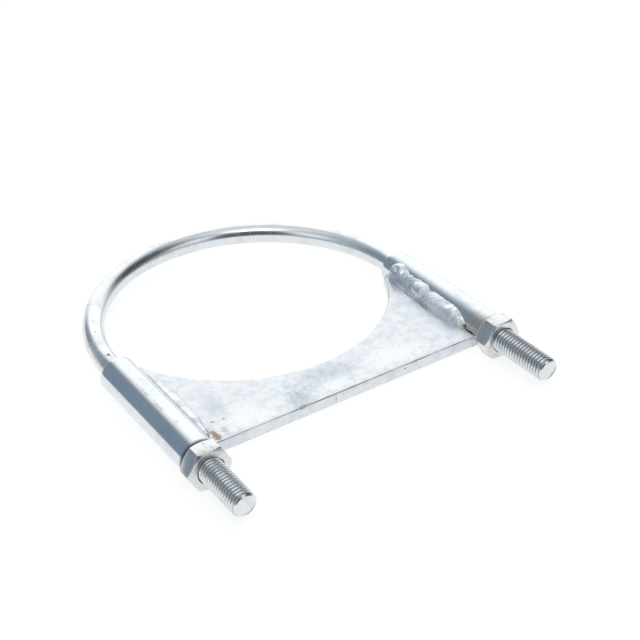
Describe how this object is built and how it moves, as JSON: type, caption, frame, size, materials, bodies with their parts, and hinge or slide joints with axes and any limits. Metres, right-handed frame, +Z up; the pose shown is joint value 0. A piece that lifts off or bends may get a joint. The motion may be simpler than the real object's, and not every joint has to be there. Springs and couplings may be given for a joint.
{
  "type": "u-clamp",
  "caption": "Zinc-plated U-clamp: a threaded U-bolt through a welded saddle plate with a round pipe seat, drawn up by plain hexagon nuts.",
  "frame": {"origin": "centre of the U-bolt's bend, in the plane of the legs' axes", "axes": "+X to the right leg, +Y to the bend with the threaded ends pointing to -Y, +Z up with the clamp lying flat and along the clamped pipe"},
  "size_m": [0.1554, 0.1733, 0.016],
  "materials": {
    "zinc_bar": "bright zinc plate, smooth",
    "zinc_plate": "bright zinc plate, cloudy",
    "zinc_sleeve": "bright zinc plate, smooth",
    "zinc_weld": "zinc plate over weld metal, lumpy",
    "zinc_nut": "bright zinc plate, faint yellow tint"
  },
  "bodies": {
    "u_bolt": {"u_bolt": "zinc_bar"},
    "saddle": {"saddle_plate": "zinc_plate", "sleeve_left": "zinc_sleeve", "sleeve_right": "zinc_sleeve", "weld_left": "zinc_weld", "weld_right": "zinc_weld"},
    "nut_left": {"nut_left": "zinc_nut"},
    "nut_right": {"nut_right": "zinc_nut"}
  },
  "joints": [
    {"name": "saddle_slide", "type": "slide", "parent": "u_bolt", "child": "saddle", "axis": [0, 1, 0], "range_m": [-0.0215, 0.006]},
    {"name": "nut_left_turn", "type": "hinge", "parent": "saddle", "child": "nut_left", "pos_m": [-0.0685, -0.074, 0], "axis": [0, 1, 0], "range_deg": [-5160, 1440]},
    {"name": "nut_right_turn", "type": "hinge", "parent": "saddle", "child": "nut_right", "pos_m": [0.0685, -0.0705, 0], "axis": [0, 1, 0], "range_deg": [-5160, 1440]}
  ],
  "couplings": [
    {"joint": "nut_left_turn", "follows": "saddle_slide", "rad_per_m": 4188.8},
    {"joint": "nut_right_turn", "follows": "saddle_slide", "rad_per_m": 4188.8}
  ]
}
